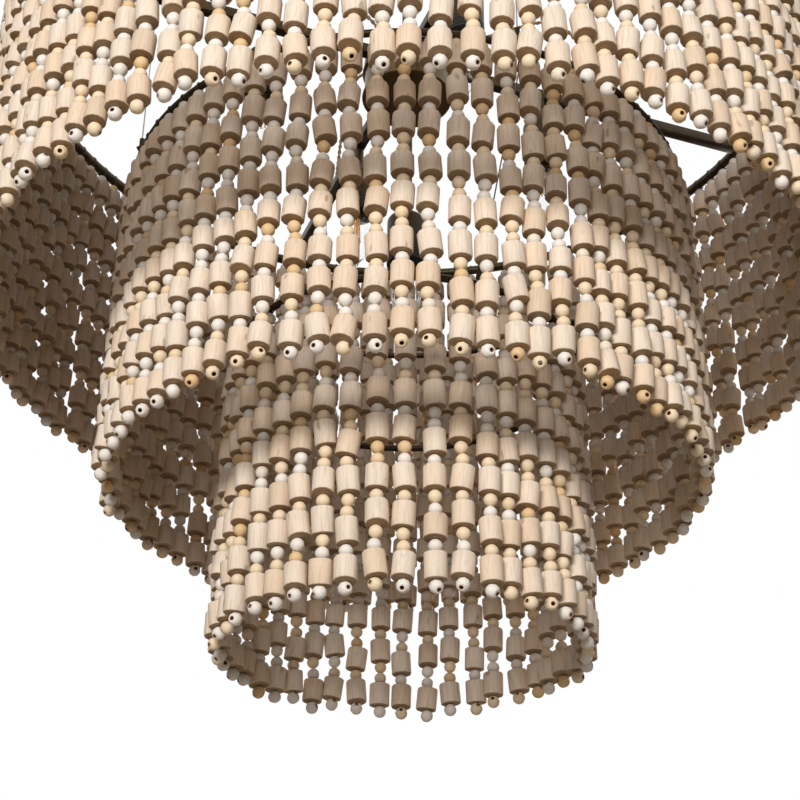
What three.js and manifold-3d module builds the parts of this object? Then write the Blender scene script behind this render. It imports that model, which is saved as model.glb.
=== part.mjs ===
// Beaded chandelier: three tiers of wooden bead strands on hoops, hung from a hub with five candle lamps.
// Millimetres, +Z up. The origin is the middle of the bracket's ceiling face, and everything hangs below it.
import * as THREE from 'three';
import { mergeGeometries, mergeVertices } from 'three/addons/utils/BufferGeometryUtils.js';
import Module from 'manifold-3d';

const wasm = await Module();
wasm.setup();

const fullTurn = 2 * Math.PI;
const rightAngle = Math.PI / 2;

function half(size) {
  return size / 2;
}

// Clearances
const seatGap = 0.3;
const cutOverrun = 2;

// Sides of the small round pieces
const smallSides = 8;
const middleSides = 12;
const hubSides = 24;

// Turned beads, as strung
const cylinderBeadDiameter = 22;
const cylinderBeadLength = 24.5;
const roundBeadPitch = 13.3;

// Strings looped over a hoop, drawn as one sleeve per quarter
const stringWall = 1.2;
const stringNeckRadius = 2.5;
const stringStopSpace = 2.5;
const strandPlaceShare = 0.5;
const strandSides = 4;

// Tiers: radius to the strings, drop to the hoop, the hoop's bar, and the beads of a strand on average
const outerTier = {
  name: 'outer', radius: 467, drop: 376, bar: 13, hoopSides: 48, strands: 118, cylinders: 9, rounds: 14,
};
const middleTier = {
  name: 'middle', radius: 311, drop: 610, bar: 8, hoopSides: 36, strands: 77, cylinders: 8, rounds: 12.5,
};
const bottomTier = {
  name: 'bottom', radius: 185, drop: 814, bar: 8, hoopSides: 24, strands: 46, cylinders: 7, rounds: 12,
};
const rodSides = 6;

// Spokes
const quarters = 4;
const spokeAzimuth = THREE.MathUtils.degToRad(21.4);
const spokeTube = 13;
const tubeWall = 1.2;

// Ceiling bracket, its canopy and the swivel
const bracketLength = 110;
const bracketWidth = 20;
const bracketThickness = 4;
const ceilingScrewRadius = 48;
const ceilingScrewHoleDiameter = 5;
const pivotDrop = 34;
const forkSpan = 38;
const forkThickness = 4;
const forkWidth = 14;
const forkToe = 7;
const pinDiameter = 5;
const pinHoleGap = 0.3;
const pinEndGap = 0.4;
const ringOuterRadius = 17;
const ringInnerRadius = 13;
const ringHeight = 10;
const ringSides = 20;
const blockRadius = 10;
const blockHeight = 16;
const blockSeatDepth = 9;
const canopyRadius = 65;
const canopyFloorRadius = 52;
const canopyDepth = 55;
const canopyRim = 8;
const canopyWall = 1.5;
const canopyHoleRadius = 14;
const canopyScrewRadius = 40;
const screwShankDiameter = 4;
const screwHeadDiameter = 13;
const screwHeadHeight = 8;
const screwHeadEndShares = { low: 0.6, high: 0.8 };
const terminalPlace = 30;
const terminalBlock = { length: 12, width: 18, height: 12 };

// Stem and hub
const stemDiameter = 13;
const stemBore = 9;
const stemDrop = 604;
const stemWindow = { width: 7, height: 16 };
const collarRadius = 13;
const collarHeight = 8;
const lidRadius = 53;
const lidThickness = 3;
const bossRadius = 15;
const bossHeight = 16;
const leadHoleRadius = 38;
const leadHoleTurn = THREE.MathUtils.degToRad(17);
const leadHoleDiameter = 7;
const drumHeight = 50;
const drumWall = 2;
const drumLip = 1.5;
const drumGroove = 2.5;
const drumLipDrop = 10;
const drumLipHeight = 2;
const drumRimHeight = 3.5;
const drumBevel = 1.5;
const hubNutRadius = 12;
const hubNutHeight = 5;

// Lamps
const lampRadius = 178;
const outerNeckLength = 39;
const centreNeckLength = 7;
const cupNeckRadius = 6.5;
const cupNippleRadius = 4.7;
const centreNippleRadius = 3.9;
const cupNippleReach = 2.4;
const cupBore = 5.8;
const cupRadius = 22;
const cupLength = 50;
const cupShoulder = 7;
const cupWall = 1.5;
const cupHeadroom = 14;
const cupSides = 10;
const socketRimRadius = 22.2;
const socketRimLength = 16;
const socketWell = 29;
const socketWellRadius = 7.4;
const bulbBaseRadius = 7;
const bulbRadius = 17.5;
const bulbGlassLength = 79;
const bulbGlassShares = [[0.64, 0.06], [1, 0.42], [0.93, 0.63], [0.5, 0.9], [0.16, 0.985]];
const bulbSides = 10;

// Cables: the upper ones hang the middle hoop from the spokes, the lower ones hang the bottom hoop from it
const cableDiameter = 1.5;
const cableHoleDiameter = 2.6;
const cableSideStep = 6;
const gripRadius = 2.75;
const gripLength = 20;
const stopRadius = 2.2;
const stopLength = 5;
const cableSides = 6;

// Lamp leads
const leadDiameter = 5;
const leadEntryRadius = 270;
const leadSides = 5;
const leadTail = 8;
const leadRunBelowLid = 10;
const archSteps = 11;
const fanLegs = 3;
const spliceRadius = 8;
const spliceHeight = 24;
const spliceOffset = 27;

// Heights that follow
const spokeFloor = -outerTier.drop - half(spokeTube);
const spokeTop = spokeFloor + spokeTube;
const spokeMiddle = -outerTier.drop;
const blockFloor = -pivotDrop - half(blockHeight);
const lidTop = spokeFloor - seatGap;
const lidFloor = lidTop - lidThickness;
const drumTop = lidFloor - seatGap;
const drumFloor = drumTop - drumHeight;
const hubMiddle = half(drumTop + drumFloor);
const stemTop = blockFloor + blockSeatDepth - seatGap;
const stemFloor = -stemDrop;
const stemClearRadius = half(stemDiameter) + seatGap;
const outerLamp = {
  radius: lampRadius, floor: spokeFloor, neckLength: outerNeckLength, nippleRadius: cupNippleRadius,
};
const centreLamp = {
  radius: 0, floor: stemFloor, neckLength: centreNeckLength, nippleRadius: centreNippleRadius,
};

// Finishes
const bronze = { color: 0x3a2c1a, roughness: 0.45, metalness: 0.85 };
const brass = { color: 0x6e5a2c, roughness: 0.4, metalness: 0.9 };
const steel = { color: 0x8c8c8a, roughness: 0.35, metalness: 0.9 };
const wood = { color: 0xe3cfae, roughness: 0.7, metalness: 0 };
const blackPlastic = { color: 0x16130f, roughness: 0.5, metalness: 0 };
const clearGlass = { color: 0xdfe6ea, roughness: 0.05, metalness: 0, transparent: true, opacity: 0.4 };
const brownCord = { color: 0x4a3120, roughness: 0.8, metalness: 0 };

// A closed solid from a geometry, with shared corners merged and collapsed triangles left out
function toSolid(geometry) {
  const bare = geometry.clone();
  bare.deleteAttribute('normal');
  bare.deleteAttribute('uv');
  const merged = mergeVertices(bare);
  const corners = merged.index.array;
  const kept = [];
  for (let i = 0; i < corners.length; i += 3) {
    const [a, b, c] = corners.slice(i, i + 3);
    if (a !== b && b !== c && c !== a) kept.push(a, b, c);
  }
  return new wasm.Manifold(new wasm.Mesh({
    numProp: 3,
    vertProperties: new Float32Array(merged.getAttribute('position').array),
    triVerts: new Uint32Array(kept),
  }));
}

function toGeometry(solid) {
  const mesh = solid.getMesh();
  const geometry = new THREE.BufferGeometry();
  geometry.setAttribute('position', new THREE.BufferAttribute(new Float32Array(mesh.vertProperties), 3));
  geometry.setIndex(new THREE.BufferAttribute(new Uint32Array(mesh.triVerts), 1));
  geometry.computeVertexNormals();
  return geometry;
}

function joined(...geometries) {
  const solids = geometries.map(toSolid);
  return toGeometry(solids.reduce((whole, next) => whole.add(next)));
}

function cut(geometry, ...tools) {
  const solids = [geometry, ...tools].map(toSolid);
  return toGeometry(solids.reduce((rest, tool) => rest.subtract(tool)));
}

// A body turned about Z from [radius, height] points that run down the inside and up the outside
function turned(outline, sides) {
  const points = outline.map(([radius, height]) => new THREE.Vector2(radius, height));
  if (outline[0][0] > 0) points.push(points[0].clone());
  return new THREE.LatheGeometry(points, sides).rotateX(rightAngle);
}

function box(length, width, floor, top) {
  return new THREE.BoxGeometry(length, width, top - floor).translate(0, 0, half(floor + top));
}

function upright(radius, floor, top, sides) {
  return turned([[0, floor], [radius, floor], [radius, top], [0, top]], sides);
}

// A hole with room for a round piece of this radius, on its flats too
function fittedHole(radius, floor, top, sides) {
  return upright((radius + seatGap) / Math.cos(Math.PI / sides), floor, top, sides);
}

function around(geometry, radius, azimuth) {
  return geometry.clone().translate(radius, 0, 0).rotateZ(azimuth);
}

function onBothSides(geometry, distance) {
  return [-distance, distance].map((place) => geometry.clone().translate(place, 0, 0));
}

function turnOf(quarter) {
  return (quarter * fullTurn) / quarters;
}

function inEachQuarter(geometry) {
  return Array.from({ length: quarters }, (_, quarter) => geometry.clone().rotateZ(turnOf(quarter)));
}

// A round bar along X, turned about Z by this angle
function levelBar(radius, from, to, turn, sides) {
  const bar = new THREE.CylinderGeometry(radius, radius, to - from, sides).rotateZ(-rightAngle);
  return bar.translate(half(from + to), 0, 0).rotateZ(turn);
}

// A square section of a hoop, from its middle out to this reach
function squareSection(radius, reach) {
  const [inside, outside] = [radius - reach, radius + reach];
  return [[inside, -reach], [outside, -reach], [outside, reach], [inside, reach]];
}

function roundSection(radius, reach, sides) {
  return Array.from({ length: sides }, (_, side) => {
    const angle = (side * fullTurn) / sides;
    return [radius + Math.cos(angle) * reach, Math.sin(angle) * reach];
  });
}

function tubeAlong(points, steps) {
  const section = new THREE.Shape();
  roundSection(0, half(leadDiameter), leadSides).forEach(([x, y], side) => {
    if (side === 0) section.moveTo(x, y);
    else section.lineTo(x, y);
  });
  const path = new THREE.CatmullRomCurve3(points, false, 'centripetal');
  return new THREE.ExtrudeGeometry(section, { steps, bevelEnabled: false, extrudePath: path });
}

function piece(name, geometry, finish, azimuth = 0) {
  const tidy = toGeometry(toSolid(geometry));
  const mesh = new THREE.Mesh(tidy, new THREE.MeshStandardMaterial({ ...finish, flatShading: true }));
  mesh.name = name;
  mesh.rotation.z = azimuth;
  return mesh;
}

function quarterAzimuth(quarter) {
  return spokeAzimuth + turnOf(quarter);
}

// Bracket: a strap on the ceiling with two fork arms that hold the ring's pins
function ceilingBracket() {
  const armInner = half(forkSpan);
  const below = -bracketThickness - cutOverrun;
  const strap = box(bracketLength, bracketWidth, -bracketThickness, 0);
  const arm = box(forkThickness, forkWidth, -pivotDrop - forkToe, -half(bracketThickness));
  const arms = onBothSides(arm, armInner + half(forkThickness));
  const pinHole = levelBar(half(pinDiameter) + pinHoleGap, -forkSpan, forkSpan, 0, smallSides)
    .translate(0, 0, -pivotDrop);
  const screwHole = fittedHole(half(screwShankDiameter), below, cutOverrun, smallSides);
  const ceilingHole = upright(half(ceilingScrewHoleDiameter), below, cutOverrun, smallSides);
  const holes = [
    ...onBothSides(screwHole, canopyScrewRadius),
    ...onBothSides(ceilingHole, ceilingScrewRadius),
  ];
  return piece('ceiling_bracket', cut(joined(strap, ...arms), pinHole, ...holes), steel);
}

function terminalStrip() {
  const { length, width, height } = terminalBlock;
  const top = -bracketThickness - seatGap;
  const body = box(length, width, top - height, top).translate(terminalPlace, 0, 0);
  return piece('terminal_block', body, blackPlastic);
}

// Canopy: a shallow pan that hides the bracket, held up by two screws
function canopy() {
  const floor = -canopyDepth;
  const inside = floor + canopyWall;
  const shell = turned([
    [canopyHoleRadius, inside],
    [canopyHoleRadius, floor],
    [canopyFloorRadius, floor],
    [canopyRadius, -canopyRim],
    [canopyRadius, 0],
    [canopyRadius - canopyWall, 0],
    [canopyRadius - canopyWall, -canopyRim],
    [canopyFloorRadius - canopyWall, inside],
  ], hubSides);
  const hole = fittedHole(half(screwShankDiameter), floor - cutOverrun, inside + cutOverrun, smallSides);
  return piece('canopy_cover', cut(shell, ...onBothSides(hole, canopyScrewRadius)), bronze);
}

function canopyScrew(index, side) {
  const headTop = -canopyDepth - seatGap;
  const shank = half(screwShankDiameter);
  const head = half(screwHeadDiameter);
  const screw = turned([
    [0, headTop - screwHeadHeight],
    [head * screwHeadEndShares.low, headTop - screwHeadHeight],
    [head, headTop - half(screwHeadHeight)],
    [head * screwHeadEndShares.high, headTop],
    [shank, headTop],
    [shank, -seatGap],
    [0, -seatGap],
  ], smallSides);
  return piece(`canopy_screw_${index}`, screw.translate(side * canopyScrewRadius, 0, 0), bronze);
}

// Swivel: the ring turns on pins along X, and the block turns in it on pins along Y
function swivelRing() {
  const [low, high] = [-pivotDrop - half(ringHeight), -pivotDrop + half(ringHeight)];
  const ring = turned([
    [ringInnerRadius, low], [ringOuterRadius, low], [ringOuterRadius, high], [ringInnerRadius, high],
  ], ringSides);
  const pinRoot = half(ringInnerRadius + ringOuterRadius);
  const pinTip = half(forkSpan) + forkThickness - pinEndGap;
  const pin = levelBar(half(pinDiameter), pinRoot, pinTip, 0, smallSides).translate(0, 0, -pivotDrop);
  const opposite = pin.clone().rotateZ(Math.PI);
  const pinHole = levelBar(half(pinDiameter) + pinHoleGap, -forkSpan, forkSpan, rightAngle, smallSides)
    .translate(0, 0, -pivotDrop);
  return piece('swivel_ring', cut(joined(ring, pin, opposite), pinHole), steel);
}

function swivelBlock() {
  const [low, high] = [blockFloor, blockFloor + blockHeight];
  const shoulder = low + blockSeatDepth;
  const body = turned([
    [half(stemBore), high],
    [half(stemBore), shoulder],
    [stemClearRadius, shoulder],
    [stemClearRadius, low],
    [blockRadius, low],
    [blockRadius, high],
  ], middleSides);
  const pinRoot = half(stemClearRadius + blockRadius);
  const pinTip = ringOuterRadius - pinEndGap;
  const pin = levelBar(half(pinDiameter), pinRoot, pinTip, rightAngle, smallSides)
    .translate(0, 0, -pivotDrop);
  return piece('swivel_block', joined(body, pin, pin.clone().rotateZ(Math.PI)), steel);
}

// Stem: a tube down to the centre lamp, with a window in the hub where the outer lamps' leads branch off
function stemRod() {
  const [bore, radius] = [half(stemBore), half(stemDiameter)];
  const tube = turned([[bore, stemTop], [bore, stemFloor], [radius, stemFloor], [radius, stemTop]], middleSides);
  const reach = half(stemWindow.height);
  const window = box(stemDiameter, stemWindow.width, hubMiddle - reach, hubMiddle + reach)
    .translate(half(stemDiameter), 0, 0);
  return piece('stem_rod', cut(tube, window), bronze, spokeAzimuth + half(turnOf(1)));
}

function washer(name, radius, top, height, sides) {
  const low = top - height;
  const outline = [[stemClearRadius, top], [stemClearRadius, low], [radius, low], [radius, top]];
  return piece(name, turned(outline, sides), bronze);
}

// Hub: a lid that carries the spokes around its boss, and a drum below it with a lip and a rim
function hubLid() {
  const plate = turned([
    [stemClearRadius, lidTop + bossHeight],
    [stemClearRadius, lidFloor],
    [lidRadius, lidFloor],
    [lidRadius, lidTop],
    [bossRadius, lidTop],
    [bossRadius, lidTop + bossHeight],
  ], hubSides);
  const hole = upright(half(leadHoleDiameter), lidFloor - cutOverrun, lidTop + cutOverrun, smallSides);
  const placed = around(hole, leadHoleRadius, spokeAzimuth + leadHoleTurn);
  return piece('hub_lid', cut(plate, ...inEachQuarter(placed)), bronze);
}

function hubShell() {
  const groove = lidRadius - drumGroove;
  const lip = lidRadius + drumLip;
  const lipTop = drumTop - drumLipDrop;
  const lipFloor = lipTop - drumLipHeight;
  const rimTop = drumFloor + drumRimHeight;
  const shell = turned([
    [groove - drumWall, drumTop],
    [groove - drumWall, drumFloor + drumWall],
    [stemClearRadius, drumFloor + drumWall],
    [stemClearRadius, drumFloor],
    [lidRadius, drumFloor],
    [lip, drumFloor + drumBevel],
    [lip, rimTop],
    [lidRadius - drumBevel, rimTop + drumBevel],
    [lidRadius - drumBevel, lipFloor - drumBevel],
    [lip, lipFloor],
    [lip, lipTop],
    [groove, lipTop + drumBevel],
    [groove, drumTop - 2 * drumBevel],
    [lidRadius, drumTop - drumBevel],
    [lidRadius, drumTop],
  ], hubSides);
  return piece('hub_shell', shell, brass);
}

// How far out a bar of this width can reach, square to the inside of a many-sided hoop
function barReach(tier, width) {
  const edgeFall = half(width) * Math.tan(Math.PI / tier.hoopSides);
  return tier.radius - half(tier.bar) - seatGap - edgeFall;
}

// Spoke: a level square tube from the hub's boss to the outer hoop, open at both ends
function spoke(quarter) {
  const [from, to] = [bossRadius + seatGap, barReach(outerTier, spokeTube)];
  const [low, high] = [spokeFloor + tubeWall, spokeTop - tubeWall];
  const outside = box(to - from, spokeTube, spokeFloor, spokeTop);
  const hollow = box(to - from + 2 * cutOverrun, high - low, low, high);
  const [below, above] = [spokeFloor - cutOverrun, spokeTop + cutOverrun];
  const leadHole = upright(half(leadHoleDiameter), spokeMiddle, above, smallSides);
  const nippleHole = fittedHole(cupNippleRadius, below, spokeMiddle, cupSides);
  const cableHole = upright(half(cableHoleDiameter), below, above, cableSides);
  const tube = cut(
    outside.translate(half(from + to), 0, 0),
    hollow.translate(half(from + to), 0, 0),
    leadHole.translate(leadEntryRadius, 0, 0),
    nippleHole.translate(lampRadius, 0, 0),
    cableHole.translate(middleTier.radius, 0, 0),
  );
  return piece(`spoke_${quarter + 1}`, tube, bronze, quarterAzimuth(quarter));
}

// The lower cables stand a step beside the upper ones, and lean in from the middle hoop to the bottom hoop
function lowerCablePlace(tier) {
  return tier.radius - cableSideStep * Math.tan(Math.PI / tier.hoopSides);
}

const lowerCableRun = {
  across: lowerCablePlace(middleTier) - lowerCablePlace(bottomTier),
  down: bottomTier.drop - middleTier.drop,
};
const lowerCableLean = Math.atan2(lowerCableRun.across, lowerCableRun.down);

function lowerCableHole(tier) {
  return upright(half(cableHoleDiameter), -tier.bar, tier.bar, cableSides)
    .rotateY(lowerCableLean)
    .translate(lowerCablePlace(tier), cableSideStep, 0);
}

function hoop(tier, section, ...drilled) {
  const rod = cut(turned(section, tier.hoopSides), ...drilled.flatMap(inEachQuarter));
  return piece(`${tier.name}_hoop`, rod.translate(0, 0, -tier.drop), bronze, spokeAzimuth);
}

function outerHoop() {
  return hoop(outerTier, squareSection(outerTier.radius, half(outerTier.bar)));
}

function middleHoop() {
  const upperCableHole = upright(half(cableHoleDiameter), -middleTier.bar, middleTier.bar, cableSides)
    .translate(middleTier.radius, 0, 0);
  return hoop(middleTier, roundSection(middleTier.radius, half(middleTier.bar), rodSides),
    upperCableHole, lowerCableHole(middleTier));
}

function bottomHoop() {
  return hoop(bottomTier, roundSection(bottomTier.radius, half(bottomTier.bar), rodSides),
    lowerCableHole(bottomTier));
}

// One strand below the middle of its hoop: string, bead column and end bead
function strand(tier) {
  const top = -half(tier.bar) - seatGap - stringWall;
  const floor = top - tier.cylinders * cylinderBeadLength - tier.rounds * roundBeadPitch;
  return turned([
    [0, floor],
    [half(cylinderBeadDiameter), floor + roundBeadPitch],
    [half(cylinderBeadDiameter), top - roundBeadPitch],
    [stringNeckRadius, top + half(stringWall)],
    [0, top + half(stringWall)],
  ], strandSides);
}

// The strands of one quarter of a tier, joined by the strings that loop over the hoop
function beadQuarter(tier, quarter) {
  const inner = half(tier.bar) + seatGap;
  const outer = inner + stringWall;
  const ring = toSolid(turned(squareSection(tier.radius, outer), tier.hoopSides))
    .subtract(toSolid(turned(squareSection(tier.radius, inner), tier.hoopSides)));
  const margin = Math.asin((half(spokeTube) + stringStopSpace) / tier.radius);
  const wedge = new THREE.Shape();
  wedge.moveTo(0, 0);
  for (const angle of [margin, half(turnOf(1)), turnOf(1) - margin]) {
    wedge.lineTo(2 * tier.radius * Math.cos(angle), 2 * tier.radius * Math.sin(angle));
  }
  const pie = new THREE.ExtrudeGeometry(wedge, { depth: 2 * tier.bar, bevelEnabled: false })
    .translate(0, 0, -tier.bar);
  const sleeve = ring.intersect(toSolid(pie));
  const [before, after] = [quarter, quarter + 1].map((end) => Math.floor((end * tier.strands) / quarters));
  const column = [];
  for (let place = 0; place < after - before; place++) {
    const angle = ((place + strandPlaceShare) * turnOf(1)) / (after - before);
    column.push(around(strand(tier), tier.radius, angle));
  }
  const body = toGeometry(sleeve.add(toSolid(mergeGeometries(column)))).translate(0, 0, -tier.drop);
  return piece(`${tier.name}_beads_${quarter + 1}`, body, wood, quarterAzimuth(quarter));
}

// A straight cable between the middles of two bars, with a grip inside and a stop outside each bar
function cable(length, lowReach, highReach) {
  const thin = half(cableDiameter);
  const [lowGrip, lowStop] = [lowReach + seatGap, -lowReach - seatGap];
  const [highGrip, highStop] = [length - highReach - seatGap, length + highReach + seatGap];
  return turned([
    [0, lowStop - stopLength],
    [stopRadius, lowStop - stopLength],
    [stopRadius, lowStop],
    [thin, lowStop],
    [thin, lowGrip],
    [gripRadius, lowGrip],
    [gripRadius, lowGrip + gripLength],
    [thin, lowGrip + gripLength],
    [thin, highGrip - gripLength],
    [gripRadius, highGrip - gripLength],
    [gripRadius, highGrip],
    [thin, highGrip],
    [thin, highStop],
    [stopRadius, highStop],
    [stopRadius, highStop + stopLength],
    [0, highStop + stopLength],
  ], cableSides);
}

function upperCable(quarter) {
  const rodFlat = half(middleTier.bar) * Math.cos(Math.PI / rodSides);
  const line = cable(middleTier.drop - outerTier.drop, rodFlat, half(spokeTube))
    .translate(middleTier.radius, 0, -middleTier.drop);
  return piece(`upper_cable_${quarter + 1}`, line, steel, quarterAzimuth(quarter));
}

function lowerCable(quarter) {
  const length = Math.hypot(lowerCableRun.across, lowerCableRun.down);
  const line = cable(length, half(bottomTier.bar), half(middleTier.bar))
    .rotateY(lowerCableLean)
    .translate(lowerCablePlace(bottomTier), cableSideStep, -bottomTier.drop);
  return piece(`lower_cable_${quarter + 1}`, line, steel, quarterAzimuth(quarter));
}

// Heights of a lamp: its cup hangs by a neck, the socket sits in the cup, and its rim lies below the cup
function lampHeights({ floor, neckLength }) {
  const neckTop = floor - seatGap;
  const cupTop = neckTop - neckLength;
  const cupFloor = cupTop - cupLength;
  const rimTop = cupFloor - seatGap;
  const rimFloor = rimTop - socketRimLength;
  return { neckTop, cupTop, cupFloor, rimTop, rimFloor, socketTop: cupTop - cupHeadroom };
}

function lampCup(index, lamp, azimuth) {
  const { neckTop, cupTop, cupFloor } = lampHeights(lamp);
  const [bore, inside] = [half(cupBore), cupRadius - cupWall];
  const cup = turned([
    [bore, lamp.floor + cupNippleReach],
    [bore, cupTop - cupWall],
    [cupRadius - cupShoulder, cupTop - cupWall],
    [inside, cupTop - cupShoulder - cupWall],
    [inside, cupFloor],
    [cupRadius, cupFloor],
    [cupRadius, cupTop - cupShoulder],
    [cupRadius - cupShoulder, cupTop],
    [cupNeckRadius, cupTop],
    [cupNeckRadius, neckTop],
    [lamp.nippleRadius, neckTop],
    [lamp.nippleRadius, lamp.floor + cupNippleReach],
  ], cupSides);
  return piece(`lamp_cup_${index}`, cup.translate(lamp.radius, 0, 0), bronze, azimuth);
}

function lampSocket(index, lamp, azimuth) {
  const { socketTop, rimTop, rimFloor } = lampHeights(lamp);
  const body = cupRadius - cupWall - seatGap;
  const socket = turned([
    [0, rimFloor + socketWell],
    [socketWellRadius, rimFloor + socketWell],
    [socketWellRadius, rimFloor],
    [socketRimRadius, rimFloor],
    [socketRimRadius, rimTop],
    [body, rimTop],
    [body, socketTop],
    [0, socketTop],
  ], cupSides);
  return piece(`lamp_socket_${index}`, socket.translate(lamp.radius, 0, 0), blackPlastic, azimuth);
}

function bulb(index, lamp, azimuth) {
  const { rimFloor } = lampHeights(lamp);
  const glassTop = rimFloor - seatGap;
  const baseTop = rimFloor + socketWell - seatGap;
  const glass = bulbGlassShares.map(([across, along]) => [
    bulbRadius * across, glassTop - bulbGlassLength * along,
  ]);
  const outline = [
    [0, glassTop - bulbGlassLength],
    ...glass.reverse(),
    [bulbBaseRadius, glassTop],
    [bulbBaseRadius, baseTop],
    [0, baseTop],
  ];
  return piece(`bulb_${index}`, turned(outline, bulbSides).translate(lamp.radius, 0, 0), clearGlass, azimuth);
}

// Leads: up out of the lid beside each spoke, over it in an arch, and back along its inside to the lamp
function polar(radius, angle, height) {
  return new THREE.Vector3(radius * Math.cos(angle), radius * Math.sin(angle), height);
}

function archedLead() {
  const turn = leadHoleTurn;
  const lead = half(leadDiameter);
  const arch = tubeAlong([
    polar(leadHoleRadius, turn, lidFloor - leadRunBelowLid),
    polar(leadHoleRadius, turn, spokeTop),
    polar(50, turn * 0.8, spokeTop + 30),
    polar(92, turn * 0.3, spokeTop + 62),
    polar(148, 0, spokeTop + 96),
    polar(196, 0, spokeTop + 122),
    polar(229, 0, spokeTop + 112),
    polar(254, 0, spokeTop + 66),
    polar(267, 0, spokeTop + 22),
    polar(leadEntryRadius, 0, spokeTop + 4),
    polar(leadEntryRadius, 0, spokeMiddle),
  ], archSteps);
  const inside = levelBar(lead, lampRadius - lead, leadEntryRadius + lead, 0, leadSides)
    .translate(0, 0, spokeMiddle);
  const fall = upright(lead, lampHeights(outerLamp).socketTop + seatGap, spokeMiddle, leadSides)
    .translate(lampRadius, 0, 0);
  return [arch, inside, fall];
}

// Inside the drum the four leads fan out from the splice to their holes in the lid
function fannedLead(quarter) {
  const spliceTurn = half(turnOf(1));
  const holeTurn = leadHoleTurn + turnOf(quarter);
  const straightSweep = holeTurn - spliceTurn;
  const sweep = straightSweep > Math.PI ? straightSweep - fullTurn : straightSweep;
  const start = hubMiddle + half(spliceHeight) - half(leadDiameter);
  const rise = lidFloor - leadRunBelowLid + leadDiameter - start;
  const points = [];
  for (let leg = 0; leg <= fanLegs; leg++) {
    const share = leg / fanLegs;
    const radius = spliceOffset + (leadHoleRadius - spliceOffset) * share;
    points.push(polar(radius, spliceTurn + sweep * share, start + rise * share));
  }
  return tubeAlong(points, 2 * fanLegs);
}

function lampLeads() {
  const lead = half(leadDiameter);
  const spliceTurn = half(turnOf(1));
  const trunkFloor = lampHeights(centreLamp).socketTop + seatGap;
  const trunk = upright(lead, trunkFloor, blockFloor + blockHeight + leadTail, leadSides);
  const reach = half(spliceHeight);
  const splice = around(upright(spliceRadius, hubMiddle - reach, hubMiddle + reach, smallSides),
    spliceOffset, spliceTurn);
  const branch = levelBar(lead, 0, spliceOffset, spliceTurn, leadSides).translate(0, 0, hubMiddle);
  const parts = [trunk, splice, branch, ...archedLead().flatMap(inEachQuarter)];
  for (let quarter = 0; quarter < quarters; quarter++) parts.push(fannedLead(quarter));
  return piece('lamp_leads', joined(...parts), brownCord, spokeAzimuth);
}

const chandelier = new THREE.Group();
const ceilingGroup = new THREE.Group();
ceilingGroup.add(ceilingBracket(), terminalStrip(), canopy(), canopyScrew(1, -1), canopyScrew(2, 1));

const fixture = new THREE.Group();
fixture.add(
  swivelBlock(),
  stemRod(),
  washer('stem_collar', collarRadius, lidFloor - seatGap, collarHeight, middleSides),
  hubLid(),
  hubShell(),
  washer('hub_nut', hubNutRadius, drumFloor - seatGap, hubNutHeight, middleSides),
  outerHoop(),
  middleHoop(),
  bottomHoop(),
  lampLeads(),
);
for (let quarter = 0; quarter < quarters; quarter++) {
  const azimuth = quarterAzimuth(quarter);
  fixture.add(
    spoke(quarter),
    upperCable(quarter),
    lowerCable(quarter),
    lampCup(quarter + 1, outerLamp, azimuth),
    lampSocket(quarter + 1, outerLamp, azimuth),
    bulb(quarter + 1, outerLamp, azimuth),
  );
  for (const tier of [outerTier, middleTier, bottomTier]) fixture.add(beadQuarter(tier, quarter));
}
fixture.add(
  lampCup(quarters + 1, centreLamp, spokeAzimuth),
  lampSocket(quarters + 1, centreLamp, spokeAzimuth),
  bulb(quarters + 1, centreLamp, spokeAzimuth),
);
chandelier.add(ceilingGroup, swivelRing(), fixture);

export default chandelier;
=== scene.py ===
"""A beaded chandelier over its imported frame: three tiers of turned wooden beads strung below bronze hoops."""

import math
import random

import bmesh
import bpy
from bpy.props import FloatProperty, FloatVectorProperty, IntProperty, PointerProperty
from mathutils import Matrix, Vector


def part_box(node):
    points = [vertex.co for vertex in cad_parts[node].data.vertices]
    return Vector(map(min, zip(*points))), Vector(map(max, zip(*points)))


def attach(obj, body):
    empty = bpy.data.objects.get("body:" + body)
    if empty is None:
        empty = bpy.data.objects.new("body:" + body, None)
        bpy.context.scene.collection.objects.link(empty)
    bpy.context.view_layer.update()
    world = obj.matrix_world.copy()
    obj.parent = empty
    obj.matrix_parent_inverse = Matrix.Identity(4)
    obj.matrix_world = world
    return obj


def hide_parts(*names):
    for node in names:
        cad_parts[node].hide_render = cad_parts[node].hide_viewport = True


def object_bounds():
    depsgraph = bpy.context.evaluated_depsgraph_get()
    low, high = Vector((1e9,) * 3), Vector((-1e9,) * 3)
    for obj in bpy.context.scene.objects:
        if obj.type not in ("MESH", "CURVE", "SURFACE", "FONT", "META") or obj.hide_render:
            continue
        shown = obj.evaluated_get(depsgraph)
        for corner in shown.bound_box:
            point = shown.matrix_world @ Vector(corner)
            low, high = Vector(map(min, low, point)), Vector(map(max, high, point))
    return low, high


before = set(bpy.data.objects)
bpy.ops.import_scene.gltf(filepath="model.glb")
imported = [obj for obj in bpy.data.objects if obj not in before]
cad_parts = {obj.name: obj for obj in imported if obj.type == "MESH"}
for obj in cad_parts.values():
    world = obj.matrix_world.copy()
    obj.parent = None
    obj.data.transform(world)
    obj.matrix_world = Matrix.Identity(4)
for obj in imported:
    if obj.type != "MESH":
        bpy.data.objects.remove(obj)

CAD_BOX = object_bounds()
FULL_TURN = 2 * math.pi
QUARTERS = 4
LAMPS = range(1, QUARTERS + 2)
MERGE = 1e-6
CRISP = math.radians(40)
SIDE, END_GRAIN, ROUND, HOLE = range(4)  # Places of the four materials on the beads

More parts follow.
